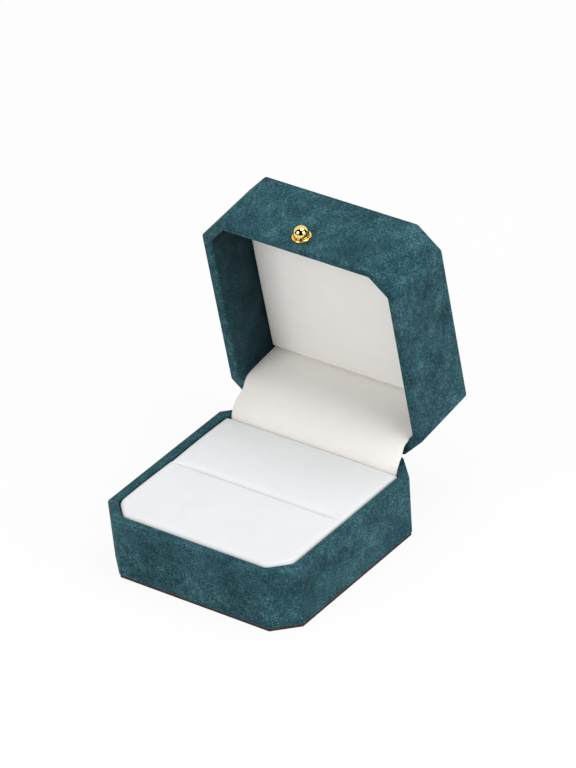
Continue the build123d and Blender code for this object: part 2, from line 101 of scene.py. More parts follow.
def smooth_step(value: float) -> float:
    """Ease a value from 0 to 1, held at both ends."""
    t = min(max(value, 0.0), 1.0)
    return t * t * (3 - 2 * t)


# --- materials ----------------------------------------------------------------


class Bench:
    """A node material under construction, with one method for each kind of node in use."""

    fold_samples: int = 6
    fold_limits: Limits = (0.995, 0.90)
    # Samples and limits of the painted shade mask for hollows and inside corners.
    painted_shade_samples: int = 8
    painted_shade_limits: Limits = (0.92, 0.40)

    def __init__(self, name: str) -> None:
        """Start an empty material.

        Args:
            name: Name of the material.
        """
        self.material = bpy.data.materials.new(name)
        self.material.use_nodes = True
        self.tree = self.material.node_tree
        self.shader = next(n for n in self.tree.nodes if n.type == "BSDF_PRINCIPLED")
        self.place = self.tree.nodes.new("ShaderNodeTexCoord").outputs["Object"]

    def node(self, kind: str, **inputs: object) -> bpy.types.Node:
        """Add a node and fill its sockets.

        Args:
            kind: Blender's name of the node type.
            **inputs: Socket name, with _ for a space, to a value or an output socket.

        Returns:
            The new node.
        """
        made = self.tree.nodes.new(kind)
        for key, value in inputs.items():
            self.fill(made.inputs[key.replace("_", " ")], value)
        return made

    def fill(self, socket: bpy.types.NodeSocket, value: object) -> None:
        """Set a socket to a plain value, or link an output socket to it.

        Args:
            socket: The input socket.
            value: A number, a colour or an output socket.
        """
        if isinstance(value, bpy.types.NodeSocket):
            self.tree.links.new(value, socket)
        elif isinstance(value, tuple) and len(value) == 3 and socket.type == "RGBA":
            socket.default_value = (*value, 1.0)
        else:
            socket.default_value = value

    def set(self, **values: object) -> None:
        """Fill sockets of the surface shader itself."""
        for key, value in values.items():
            self.fill(self.shader.inputs[key.replace("_", " ")], value)

    def cloud(self, size: float, detail: float = 3.0, rough: float = 0.55, stretch: float = 1.0,
              bend: float = 0.0) -> bpy.types.NodeSocket:
        """Fractal noise whose largest patches are of one size.

        Args:
            size: Size of a patch in metres.
            detail: Octaves of finer noise.
            rough: Weight of the finer octaves.
            stretch: How much longer a patch is along Y and Z than along X.
            bend: Distortion of the patches.

        Returns:
            The noise's value, about 0.5 on average.
        """
        place = self.place
        if stretch != 1.0:
            place = self.node("ShaderNodeVectorMath", Vector=place).outputs[0]
            scaler = place.node
            scaler.operation = "MULTIPLY"
            scaler.inputs[1].default_value = (1.0, 1 / stretch, 1 / stretch)
        made = self.node("ShaderNodeTexNoise", Vector=place, Scale=1 / size, Detail=detail, Roughness=rough,
                         Distortion=bend)
        return made.outputs["Fac"]

    def ramp(self, value: bpy.types.NodeSocket, low: float, high: float) -> bpy.types.NodeSocket:
        """Spread the part of a value between two limits over 0 to 1, eased.

        Args:
            value: The value to spread.
            low: What becomes 0.
            high: What becomes 1.

        Returns:
            The spread value.
        """
        made = self.node("ShaderNodeMapRange", Value=value)
        made.interpolation_type = "SMOOTHSTEP"
        self.fill(made.inputs["From Min"], low)
        self.fill(made.inputs["From Max"], high)
        return made.outputs["Result"]

    def maths(self, operation: str, first: object, second: object) -> bpy.types.NodeSocket:
        """Combine two values.

        Args:
            operation: Blender's name of the operation.
            first: A number or an output socket.
            second: A number or an output socket.

        Returns:
            The result.
        """
        made = self.tree.nodes.new("ShaderNodeMath")
        made.operation = operation
        self.fill(made.inputs[0], first)
        self.fill(made.inputs[1], second)
        return made.outputs[0]

    def tint(self, share: object, first: object, second: object) -> bpy.types.NodeSocket:
        """Mix two colours.

        Args:
            share: Share of the second colour.
            first: A colour or an output socket.
            second: A colour or an output socket.

        Returns:
            The mixed colour.
        """
        made = self.tree.nodes.new("ShaderNodeMix")
        made.data_type = "RGBA"
        self.fill(made.inputs[0], share)
        self.fill(made.inputs[6], first)
        self.fill(made.inputs[7], second)
        return made.outputs[2]

    def bump(self, height: bpy.types.NodeSocket, depth: float, strength: float,
             under: bpy.types.NodeSocket | None = None) -> bpy.types.NodeSocket:
        """Turn a height into a surface normal.

        Args:
            height: Height from 0 to 1.
            depth: Depth of a height of 1, in metres.
            strength: Share of the effect.
            under: Normal of a coarser relief below this one.

        Returns:
            The normal.
        """
        made = self.node("ShaderNodeBump", Height=height, Distance=depth, Strength=strength)
        if under is not None:
            self.fill(made.inputs["Normal"], under)
        return made.outputs["Normal"]

    def fold(self, radius: float) -> bpy.types.NodeSocket:
        """Mask of the folded edges of a piece.

        Args:
            radius: How far from an edge the mask reaches, in metres.

        Returns:
            0 on flat faces, towards 1 on an edge.
        """
        eased = self.node("ShaderNodeBevel", Radius=radius)
        eased.samples = self.fold_samples
        flat = self.node("ShaderNodeNewGeometry")
        dot = self.tree.nodes.new("ShaderNodeVectorMath")
        dot.operation = "DOT_PRODUCT"
        self.fill(dot.inputs[0], eased.outputs[0])
        self.fill(dot.inputs[1], flat.outputs["Normal"])
        return self.ramp(dot.outputs["Value"], *self.fold_limits)

    def painted_shade_mask(self, reach: float) -> bpy.types.NodeSocket:
        """Mask of painted shade: ambient occlusion darkens hollows and inside corners.

        Args:
            reach: How far away a facing surface still counts, in metres.

        Returns:
            0 in the open, towards 1 where the painted shade is deepest.
        """
        open_sky = self.node("ShaderNodeAmbientOcclusion", Distance=reach)
        open_sky.samples = self.painted_shade_samples
        open_sky.only_local = True
        return self.ramp(open_sky.outputs["AO"], *self.painted_shade_limits)


@dataclass(frozen=True)
class Leatherette:
    """Napped leatherette: speckled grain over faint clouds, with paler folded edges and painted shade that
    darkens its hollows.

    Sizes and depths are in metres.
    """

    name: str = "teal_leatherette"
    deep: Colour = linear(13, 38, 46)
    middle: Colour = linear(37, 76, 85)
    pale: Colour = linear(80, 123, 131)
    # Colours of the painted shade in hollows and inside corners.
    shaded_deep: Colour = linear(5, 16, 20)
    shaded_middle: Colour = linear(16, 40, 47)
    # How far the painted shade looks for facing surfaces, in metres.
    painted_shade_reach: float = 0.060
    cloud: float = 0.0105
    mottle: float = 0.0026
    speck: float = 0.00055
    pore: float = 0.00030
    cloud_weight: float = 0.26
    mottle_weight: float = 0.14
    speck_weight: float = 0.60
    dark_tones: Limits = (0.385, 0.50)
    light_tones: Limits = (0.50, 0.64)
    fold_reach: float = 0.0010
    fold_share: float = 0.30
    # Share of the painted shade in hollows.
    painted_shade_share: float = 0.85
    nap_depth: float = 0.00008
    speck_depth: float = 0.00009
    pore_depth: float = 0.00004

    def make(self) -> bpy.types.Material:
        """Build the material.

        Returns:
            The new material.
        """
        b = Bench(self.name)
        cloud = b.cloud(self.cloud, detail=5, rough=0.6, bend=0.3)
        mottle = b.cloud(self.mottle, detail=3, rough=0.6, bend=0.4)
        speck = b.cloud(self.speck, detail=3, rough=0.75)
        tone = b.maths("ADD", b.maths("MULTIPLY", cloud, self.cloud_weight),
                       b.maths("MULTIPLY", mottle, self.mottle_weight))
        tone = b.maths("ADD", tone, b.maths("MULTIPLY", speck, self.speck_weight))
        lower = b.ramp(tone, *self.dark_tones)
        upper = b.ramp(tone, *self.light_tones)
        colour = b.tint(upper, b.tint(lower, self.deep, self.middle), self.pale)
        folded = b.maths("MULTIPLY", b.fold(self.fold_reach), self.fold_share)
        colour = b.tint(folded, colour, self.pale)
        # Painted shade: hollows and inside corners darken towards the shaded colours.
        shaded = b.tint(lower, self.shaded_deep, self.shaded_middle)
        painted_shade_amount = b.maths("MULTIPLY", b.painted_shade_mask(self.painted_shade_reach), self.painted_shade_share)
        colour = b.tint(painted_shade_amount, colour, shaded)
        nap = b.bump(mottle, self.nap_depth, 0.25)
        specked = b.bump(speck, self.speck_depth, 0.65, under=nap)
        pored = b.bump(b.cloud(self.pore, detail=1), self.pore_depth, 0.5, under=specked)
        b.set(Base_Color=colour, Normal=pored,
              Roughness=b.maths("ADD", 0.70, b.maths("MULTIPLY", speck, 0.25)),
              Specular_IOR_Level=0.16, Sheen_Weight=0.06, Sheen_Roughness=0.4,
              Sheen_Tint=linear(190, 214, 216))
        return b.material


@dataclass(frozen=True)
class Velvet:
    """Short-piled white velvet: even colour, soft brushed patches and a fine nap."""

    name: str
    colour: Colour
    shade: Colour
    nap: float = 0.00022
    brushed: float = 0.0085
    ripple: float = 0.0016
    brushed_limits: Limits = (0.38, 0.66)
    brushed_weight: float = 0.22
    nap_weight: float = 0.5
    ripple_depth: float = 0.00010
    nap_depth: float = 0.00006

    def make(self) -> bpy.types.Material:
        """Build the material.

        Returns:
            The new material.
        """
        b = Bench(self.name)
        brushed = b.ramp(b.cloud(self.brushed, detail=3, rough=0.5, bend=0.5), *self.brushed_limits)
        nap = b.cloud(self.nap, detail=2, rough=0.65)
        tone = b.maths("ADD", b.maths("MULTIPLY", brushed, self.brushed_weight),
                       b.maths("MULTIPLY", nap, self.nap_weight))
        relief = b.bump(b.cloud(self.ripple, detail=2), self.ripple_depth, 0.06)
        b.set(Base_Color=b.tint(tone, self.colour, self.shade),
              Normal=b.bump(nap, self.nap_depth, 0.5, under=relief),
              Roughness=b.maths("ADD", 0.86, b.maths("MULTIPLY", brushed, 0.1)), Specular_IOR_Level=0.15,
              Sheen_Weight=0.18, Sheen_Roughness=0.5, Sheen_Tint=(1.0, 1.0, 1.0))
        return b.material


@dataclass(frozen=True)
class Metal:
    """Plated or polished metal with faint handling marks."""

    name: str
    colour: Colour
    roughness: float
    marks: float
    brush: float = 1.0
    mark_size: float = 0.0011
    mark_share: float = 0.18
    mark_tone: float = 0.72
    mark_depth: float = 0.00001

    def make(self) -> bpy.types.Material:
        """Build the material.

        Returns:
            The new material.
        """
        b = Bench(self.name)
        marks = b.cloud(self.mark_size, detail=4, rough=0.7, stretch=self.brush)
        marked = tuple(part * self.mark_tone for part in self.colour)
        b.set(Base_Color=b.tint(b.maths("MULTIPLY", marks, self.mark_share), self.colour, marked),
              Metallic=1.0, Roughness=b.maths("ADD", self.roughness, b.maths("MULTIPLY", marks, self.marks)),
              Normal=b.bump(marks, self.mark_depth, 0.25))
        return b.material


@dataclass(frozen=True)
class Stock:
    """Plain sheet or moulded stock of the hidden pieces: board, foam or plastic."""

    name: str
    colour: Colour
    flecks: Colour
    fleck_size: float
    depth: float
    roughness: float
    fleck_limits: Limits = (0.45, 0.7)

    def make(self) -> bpy.types.Material:
        """Build the material.

        Returns:
            The new material.
        """
        b = Bench(self.name)
        flecks = b.cloud(self.fleck_size, detail=4, rough=0.7)
        b.set(Base_Color=b.tint(b.ramp(flecks, *self.fleck_limits), self.colour, self.flecks),
              Roughness=self.roughness, Specular_IOR_Level=0.3, Normal=b.bump(flecks, self.depth, 0.5))
        return b.material


@dataclass
class Finishes:
    """Every finish of the box, made once."""

    leatherette: bpy.types.Material = field(default_factory=lambda: Leatherette().make())
    cushion: bpy.types.Material = field(default_factory=lambda: Velvet(
        "cool_white_velvet", linear(231, 232, 233), linear(222, 223, 225)).make())
    lining: bpy.types.Material = field(default_factory=lambda: Velvet(
        "warm_white_velvet", linear(248, 245, 240), linear(241, 238, 233)).make())
    brass: bpy.types.Material = field(default_factory=lambda: Metal(
        "polished_brass", linear(248, 216, 130), 0.035, 0.05).make())
    nickel: bpy.types.Material = field(default_factory=lambda: Metal(
        "plated_hinge_steel", linear(196, 194, 188), 0.26, 0.2, brush=4.0).make())
    spring: bpy.types.Material = field(default_factory=lambda: Metal(
        "tempered_spring_steel", linear(120, 122, 128), 0.3, 0.15, brush=6.0).make())
    board: bpy.types.Material = field(default_factory=lambda: Stock(
        "grey_board", linear(176, 166, 150), linear(140, 130, 116), 0.0009, 0.00004, 0.9).make())
    foot: bpy.types.Material = field(default_factory=lambda: Stock(
        "dark_brown_board", linear(58, 42, 37), linear(88, 66, 58), 0.0012, 0.00005, 0.85).make())
    moulding: bpy.types.Material = field(default_factory=lambda: Stock(
        "moulded_plastic", linear(50, 52, 55), linear(64, 66, 70), 0.0016, 0.00003, 0.55).make())
    foam: bpy.types.Material = field(default_factory=lambda: Stock(
        "cut_foam", linear(236, 232, 220), linear(204, 198, 182), 0.0007, 0.0002, 0.95).make())


# --- meshes -------------------------------------------------------------------


def mesh_piece(name: str, rows: Sequence[Sequence[Vector]], caps: Iterable[Sequence[tuple[int, int]]],
               round_trip: bool, material: bpy.types.Material) -> bpy.types.Object:
    """Make a closed piece from rows of points.

    Args:
        name: Name of the piece.
        rows: Rows of points, all of one length, in metres.
        caps: Faces that close the mesh, each a list of (row, place in the row).
        round_trip: Whether each row closes on itself.
        material: The finish.

    Returns:
        The new object, shaded smooth.
    """
    bm = bmesh.new()
    points = [[bm.verts.new(p) for p in row] for row in rows]
    length = len(rows[0])
    last = length if round_trip else length - 1
    for lower, upper in zip(points, points[1:]):
        for i in range(last):
            k = (i + 1) % length
            bm.faces.new((lower[i], lower[k], upper[k], upper[i]))
    for cap in caps:
        bm.faces.new([points[row][i] for row, i in cap])
    bmesh.ops.recalc_face_normals(bm, faces=bm.faces)
    for face in bm.faces:
        face.smooth = True
    mesh = bpy.data.meshes.new(name)
    bm.to_mesh(mesh)
    bm.free()
    mesh.materials.append(material)
    piece = bpy.data.objects.new(name, mesh)
    bpy.context.scene.collection.objects.link(piece)
    return piece


def dress(material: bpy.types.Material, *nodes: str) -> None:
    """Give CAD nodes a finish.

    Args:
        material: The finish.
        *nodes: Names of the nodes.
    """
    for name in nodes:
        slots = frame["nodes"][name].data.materials
        slots.clear()
        slots.append(material)
        log.info("dressed %s in %s", name, material.name)


def roll(radius: float, rise: float, steps: int) -> Profile:
    """Quarter round from a wall to a flat top.

    Args:
        radius: How far the round reaches from the wall.
        rise: How far it drops at the wall.
        steps: Number of steps.

    Returns:
        Pairs of (distance from the wall, drop below the top), from the wall inwards.
    """
    turns = [math.pi / 2 * k / steps for k in range(steps + 1)]
    return [(radius * (1 - math.cos(t)), rise * (1 - math.sin(t))) for t in turns]


@dataclass(frozen=True)
class OctagonPlan:
    """Half of a plan with two cut front corners, in metres."""

    half: float
    front: float
    rear: float
    cut: float
    corner_round: float

    def reach(self, y: float) -> float:
        """Half width of the plan at a place along Y.

        Args:
            y: The place.

        Returns:
            Distance from the middle to the edge, with the cut's two corners rounded.
        """
        start = self.front + self.cut
        ease = self.corner_round * math.tan(math.pi / 8)
        if y >= start + ease:
            return self.half
        if y > start - ease * math.sqrt(0.5):
            away = start + ease - y
            return self.half - self.corner_round + math.sqrt(self.corner_round ** 2 - away ** 2)
        straight = self.half - (start - y)
        deep = self.front + ease * math.sqrt(0.5)
        if y >= deep:
            return straight
        centre_x = self.half - self.cut - ease
        up = self.corner_round - (y - self.front)
        return centre_x + math.sqrt(max(self.corner_round ** 2 - up ** 2, 0.0))


@dataclass
class VelvetPad:
    """Upholstered block with a crown, rolled edges and slightly drawn-in sides."""

    plan: OctagonPlan
    face: float
    back: float
    crown: float
    edge: float
    draw_in: float
    ripple: float
    steps: int = 7
    pitch: float = 1.1 * MM
    ripple_size: float = 11 * MM
    crown_along: float = 0.5
    crown_across: float = 0.5

    @property
    def upward(self) -> float:
        """1 if the face looks up, -1 if it looks down."""
        return 1.0 if self.face > self.back else -1.0

    def spread(self, start: float, end: float) -> list[float]:
        """Even places between two limits, without the limits themselves."""
        count = max(int(abs(end - start) / self.pitch), 2)
        return [start + (end - start) * k / count for k in range(1, count)]

    def columns(self) -> Profile:
        """Section across the pad at its full width, edge rolls included.

        Returns:
            Pairs of (x, drop below the face), from left to right.
        """
        edge = roll(self.edge, self.edge, self.steps)
        left = [(-self.plan.half + d, drop) for d, drop in edge]
        right = [(-x, drop) for x, drop in reversed(left)]
        inside = self.spread(left[-1][0], right[0][0])
        return left + [(x, 0.0) for x in inside] + right

    def lines(self) -> Profile:
        """Section along the pad, edge rolls included.

        Returns:
            Pairs of (y, drop below the face), from front to rear.
        """
        edge = roll(self.edge, self.edge, self.steps)
        front = [(self.plan.front + d, drop) for d, drop in edge]
        rear = [(self.plan.rear - d, drop) for d, drop in reversed(edge)]
        inside = self.spread(front[-1][0], rear[0][0])
        return front + [(y, 0.0) for y in inside] + rear

    def sink(self, x: float, y: float, drop: float) -> float:
        """How far a line's own drop counts at a place, for a pad that changes across its width."""
        return drop

    def dome(self, x: float, y: float) -> float:
        """Fall of the crown at a place.

        Args:
            x: Place across the pad.
            y: Place along the pad.

        Returns:
            How far the face lies below its highest point there.
        """
        middle = (self.plan.front + self.plan.rear) / 2
        along = (y - middle) / (self.plan.rear - middle)
        across = x / self.plan.half
        return self.crown * (self.crown_along * along ** 2 + self.crown_across * across ** 4)

    def wave(self, x: float, y: float) -> float:
        """Slow unevenness of the stuffing at a place."""
        return self.ripple * noise.noise(Vector((x, y, self.face)) / self.ripple_size)

    def surface(self) -> list[list[Vector]]:
        """Points over the pad's face.

        Returns:
            One row of points for each place along the pad, from front to rear.
        """
        rows = []
        for y, line_drop in self.lines():
            reach = self.plan.reach(y) / self.plan.half
            row = []
            for x, side_drop in self.columns():
                drop = math.hypot(self.sink(x, y, line_drop), side_drop)
                drop = min(drop, max(self.edge, line_drop))
                fall = drop + self.dome(x, y) - self.wave(x, y)
                row.append(Vector((x * reach, y, self.face - self.upward * fall)))
            rows.append(row)
        return rows

    def build(self, name: str, material: bpy.types.Material, place: Matrix) -> bpy.types.Object:
        """Make the pad as a closed mesh.

        Args:
            name: Name of the piece.
            material: The finish.
            place: Matrix that takes the drawn pad to its place in the frame.

        Returns:
            The new object.
        """
        rows = self.surface()
        middle_y = (self.plan.front + self.plan.rear) / 2

        def below(point: Vector) -> Vector:
            """Point of the pad's back under one of its edge, drawn in towards the middle.

            Args:
                point: Point on the edge of the face.

            Returns:
                The point below it.
            """
            length = math.hypot(point.x, point.y - middle_y)
            keep = 1 - self.draw_in / length
            return Vector((point.x * keep, middle_y + (point.y - middle_y) * keep, self.back))

        wide = [[below(row[0]), *row, below(row[-1])] for row in rows]
        front = [below(p) for p in wide[0]]
        rear = [below(p) for p in wide[-1]]
        grid = [front, *wide, rear]
        grid = [[place @ p for p in row] for row in grid]
        rim = self.rim(len(grid), len(grid[0]))
        piece = mesh_piece(name, grid, [rim], False, material)
        self.weld(piece)
        return piece

    @staticmethod
    def rim(rows: int, columns: int) -> list[tuple[int, int]]:
        """The outer edge of the grid, in order, as the pad's underside.

        Args:
            rows: Number of rows in the grid.
            columns: Number of points in a row.

        Returns:
            Pairs of (row, place in the row), once round.
        """
        down = [(0, i) for i in range(columns)]
        along = [(j, columns - 1) for j in range(1, rows)]
        back = [(rows - 1, i) for i in range(columns - 2, -1, -1)]
        home = [(j, 0) for j in range(rows - 2, 0, -1)]
        return down + along + back + home

    @staticmethod
    def weld(piece: bpy.types.Object) -> None:
        """Join the points that fall together at the pad's lower corners.

        Args:
            piece: The pad's object.
        """
        bm = bmesh.new()
        bm.from_mesh(piece.data)
        bmesh.ops.remove_doubles(bm, verts=bm.verts, dist=WELD_GAP)
        bmesh.ops.recalc_face_normals(bm, faces=bm.faces)
        bm.to_mesh(piece.data)
        bm.free()


@dataclass
class SlottedPad(VelvetPad):
    """Ring cushion: two pads whose soft lips all but close the slot between them."""

    slot: float = 0.0
    lip: float = 0.9 * MM
    rear_roll: float = 3.0 * MM
    rear_drop: float = 1.8 * MM
    parting: float = 0.65 * MM
    depth: float = 6.5 * MM
    step_down: float = 0.25 * MM
    end_ease: float = 6.0 * MM
    end_gap: float = 1.6 * MM
    crown_along: float = 0.55
    crown_across: float = 0.45
    lip_steps: int = 5
    rear_steps: int = 9
    wall_steps: int = 5
    taper_steps: int = 7

    def lines(self) -> Profile:
        """Section along both pads and down through the slot.

        Returns:
            Pairs of (y, drop below the face), from front to rear.
        """
        edge = roll(self.edge, self.edge, self.steps)
        front = [(self.plan.front + d, drop) for d, drop in edge]
        narrow = self.parting / 2
        lip_roll = reversed(roll(self.lip, self.lip, self.lip_steps))
        lip = [(self.slot - narrow - d, drop) for d, drop in lip_roll]
        steps = range(1, self.wall_steps + 1)
        down = [(self.slot - narrow * (1 - k / self.taper_steps),
                 self.lip + (self.depth - self.lip) * k / self.wall_steps) for k in steps]
        up = [(self.slot + narrow * (1 - k / self.taper_steps),
               self.rear_drop + (self.depth - self.rear_drop) * k / self.wall_steps) for k in reversed(steps)]
        rear_roll = roll(self.rear_roll, self.rear_drop, self.rear_steps)
        roll_up = [(self.slot + narrow + d, drop) for d, drop in rear_roll]
        rear = [(self.plan.rear - d, drop) for d, drop in reversed(edge)]
        ahead = self.spread(front[-1][0], lip[0][0])
        behind = self.spread(roll_up[-1][0], rear[0][0])
        flat_front = [(y, 0.0) for y in ahead]
        flat_rear = [(y, 0.0) for y in behind]
        return front + flat_front + lip + down + up + roll_up + flat_rear + rear

    def sink(self, x: float, y: float, drop: float) -> float:
        """Ease the slot out towards the side walls, where the velvet runs across it.

        Args:
            x: Place across the pad.
            y: Place along the pad.
            drop: Drop of the line through y.

        Returns:
            The drop at the place.
        """
        if abs(y - self.slot) > self.rear_roll + self.parting:
            return drop
        return drop * smooth_step((self.plan.half - self.end_gap - abs(x)) / self.end_ease)

    def dome(self, x: float, y: float) -> float:
        """Fall of the crown of the pad that a place is on; the rear pad lies a little lower.

        Args:
            x: Place across the pad.
            y: Place along the pad.

        Returns:
            How far the face lies below its highest point there.
        """
        near = self.plan.front if y < self.slot else self.slot
        far = self.slot if y < self.slot else self.plan.rear
        along = (y - (near + far) / 2) / ((far - near) / 2)
        lower = self.step_down * smooth_step((y - self.slot) / self.parting + 0.5)
        across = x / self.plan.half
        return self.crown * (self.crown_along * along ** 2 + self.crown_across * across ** 4) + lower


@dataclass
class Strip:
    """Flat strip bent along a path in the YZ plane."""

    path: list[Vector]
    half_widths: list[float]
    thickness: float
    edge_steps: int = 4
    face_steps: int = 6

    def ring(self, index: int) -> list[Vector]:
        """Closed section of the strip at one point of its path.

        Args:
            index: Which point of the path.

        Returns:
            The section's points, once round.
        """
        before = self.path[max(index - 1, 0)]
        after = self.path[min(index + 1, len(self.path) - 1)]
        ahead = (after - before).normalized()
        depth = Vector((0, ahead.z, -ahead.y))
        half, wide = self.thickness / 2, self.half_widths[index]
        turns = [math.pi * k / self.edge_steps for k in range(self.edge_steps + 1)]
        right = [(wide - half + half * math.sin(t), half * (1 - math.cos(t))) for t in turns]
        left = [(-x, d) for x, d in reversed(right)]
        across = [k / self.face_steps for k in range(1, self.face_steps)]
        far, near = right[-1][0], right[0][0]
        back = [(far - 2 * far * k, self.thickness) for k in across]
        face = [(-near + 2 * near * k, 0.0) for k in across]
        return [self.path[index] + Vector((x, 0, 0)) + depth * d for x, d in right + back + left + face]

    def build(self, name: str, material: bpy.types.Material) -> bpy.types.Object:
        """Make the strip as a closed mesh.

        Args:
            name: Name of the piece.
            material: The finish.

        Returns:
            The new object.
        """
        rings = [self.ring(i) for i in range(len(self.path))]
        count = len(rings[0])
        start = [(0, i) for i in range(count)]
        end = [(len(rings) - 1, i) for i in reversed(range(count))]
        return mesh_piece(name, rings, [start, end], True, material)


# --- the box ------------------------------------------------------------------


@dataclass(frozen=True)
class Hinge:
    """Axis and travel of the lid."""

    axis: Vector
    travel: float

    @classmethod
    def from_frame(cls) -> "Hinge":
        """Read the joint from the frame.

        Returns:
            The lid's hinge.
        """
        joint = frame["joints"][0]
        return cls(Vector(joint["pos_m"]), math.radians(max(joint["range_deg"])))

    @property
    def opened(self) -> Matrix:
        """Matrix from the shut lid to the open one."""
        turn = Matrix.Rotation(-self.travel, 4, "X")
        return Matrix.Translation(self.axis) @ turn @ Matrix.Translation(-self.axis)

    @property
    def shut(self) -> Matrix:
        """Matrix from the open lid to the shut one."""
        return self.opened.inverted()

    def shut_box(self, node: str) -> tuple[Vector, Vector]:
        """Corners of a lid node as it lies on the shut lid.

        Args:
            node: Name of the node.

        Returns:
            The lowest and the highest corner, in metres.
        """
        shut = self.shut
        points = [shut @ v.co for v in frame["nodes"][node].data.vertices]
        low = Vector([min(p[k] for p in points) for k in range(3)])
        high = Vector([max(p[k] for p in points) for k in range(3)])
        return low, high


@dataclass
class Walls:
    """Moulded shells of base and lid with their leatherette and the foot board."""

    finishes: Finishes

    def build(self) -> None:
        """Dress the CAD nodes."""
        dress(self.finishes.leatherette, "base_cover", "lid_cover")
        dress(self.finishes.moulding, "base_shell", "lid_shell")
        dress(self.finishes.foot, "foot_board")


@dataclass
class RingCushion:
    """White velvet cushion in the base, with the ring slot across it."""

    finishes: Finishes
    corner_cut: float = 5.5 * MM
    corner_round: float = 4.2 * MM
    crown: float = 0.5 * MM
    edge: float = 1.7 * MM
    draw_in: float = 0.4 * MM
    ripple: float = 0.03 * MM

    def build(self) -> None:
        """Build the cushion over its CAD pads and dress the card tray under it."""
        low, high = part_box("cushion_velvet")
        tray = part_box("cushion_tray")[1].z
        slot = (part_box("front_foam")[1].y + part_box("rear_foam")[0].y) / 2
        plan = OctagonPlan(high.x, low.y, high.y, self.corner_cut, self.corner_round)
        pad = SlottedPad(plan, face=high.z - self.ripple, back=min(tray, low.z + 2 * MM), crown=self.crown,
                         edge=self.edge, draw_in=self.draw_in, ripple=self.ripple, slot=slot)
        piece = pad.build("ring_cushion", self.finishes.cushion, Matrix.Identity(4))
        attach(piece, Body.BASE.value)
        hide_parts("cushion_velvet", "front_foam", "rear_foam")
        dress(self.finishes.board, "cushion_tray")
        log.info("ring_cushion: %d points", len(piece.data.vertices))


@dataclass
class LidPanel:
    """Padded velvet panel in the lid."""

    finishes: Finishes
    hinge: Hinge
    corner_cut: float = 5.5 * MM
    corner_round: float = 3.4 * MM
    crown: float = 0.35 * MM
    edge: float = 0.9 * MM
    draw_in: float = 0.3 * MM
    ripple: float = 0.02 * MM

    def build(self) -> None:
        """Build the panel over its CAD layers, drawn on the shut lid and swung open."""
        low, high = self.hinge.shut_box("panel_velvet")
        back = self.hinge.shut_box("panel_foam")[1].z
        plan = OctagonPlan(high.x, low.y, high.y, self.corner_cut, self.corner_round)
        pad = VelvetPad(plan, face=low.z + self.ripple, back=back, crown=self.crown, edge=self.edge,
                        draw_in=self.draw_in, ripple=self.ripple)
        piece = pad.build("lid_panel", self.finishes.lining, self.hinge.opened)
        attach(piece, Body.LID.value)
        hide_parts("panel_velvet", "panel_foam", "panel_card")
        log.info("lid_panel: %d points", len(piece.data.vertices))


